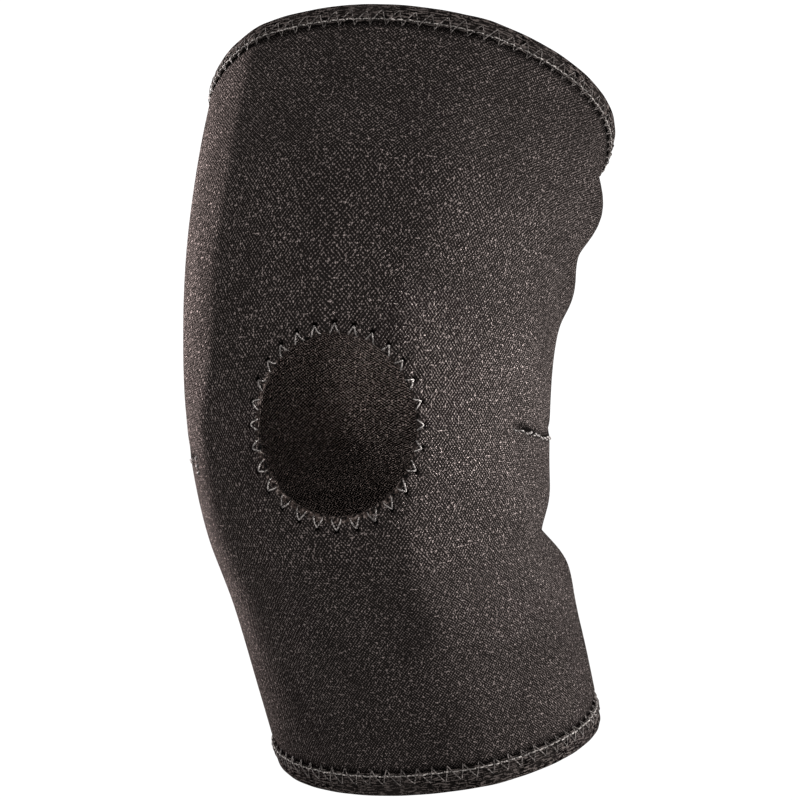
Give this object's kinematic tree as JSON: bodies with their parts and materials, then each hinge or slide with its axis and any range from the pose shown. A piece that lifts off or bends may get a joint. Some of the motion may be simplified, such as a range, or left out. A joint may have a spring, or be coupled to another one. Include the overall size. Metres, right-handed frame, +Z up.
{
  "type": "knee sleeve",
  "caption": "Pull-on neoprene knee sleeve with an open kneecap hole, taped openings and a dart round the back of the knee.",
  "frame": {"origin": "middle of the leg at the height of the centre of the kneecap hole", "axes": "+Z up the leg, the kneecap faces -Y, +X to the right of someone who looks at the kneecap"},
  "size_m": [0.152, 0.1702, 0.2778],
  "materials": {
    "neoprene": "brown-black knit on neoprene, matt with a faint sheen",
    "edge_tape": "brown-black ribbed binding tape, matt"
  },
  "bodies": {
    "root": {"sleeve_body": "neoprene", "thigh_binding": "edge_tape", "calf_binding": "edge_tape"}
  },
  "joints": []
}
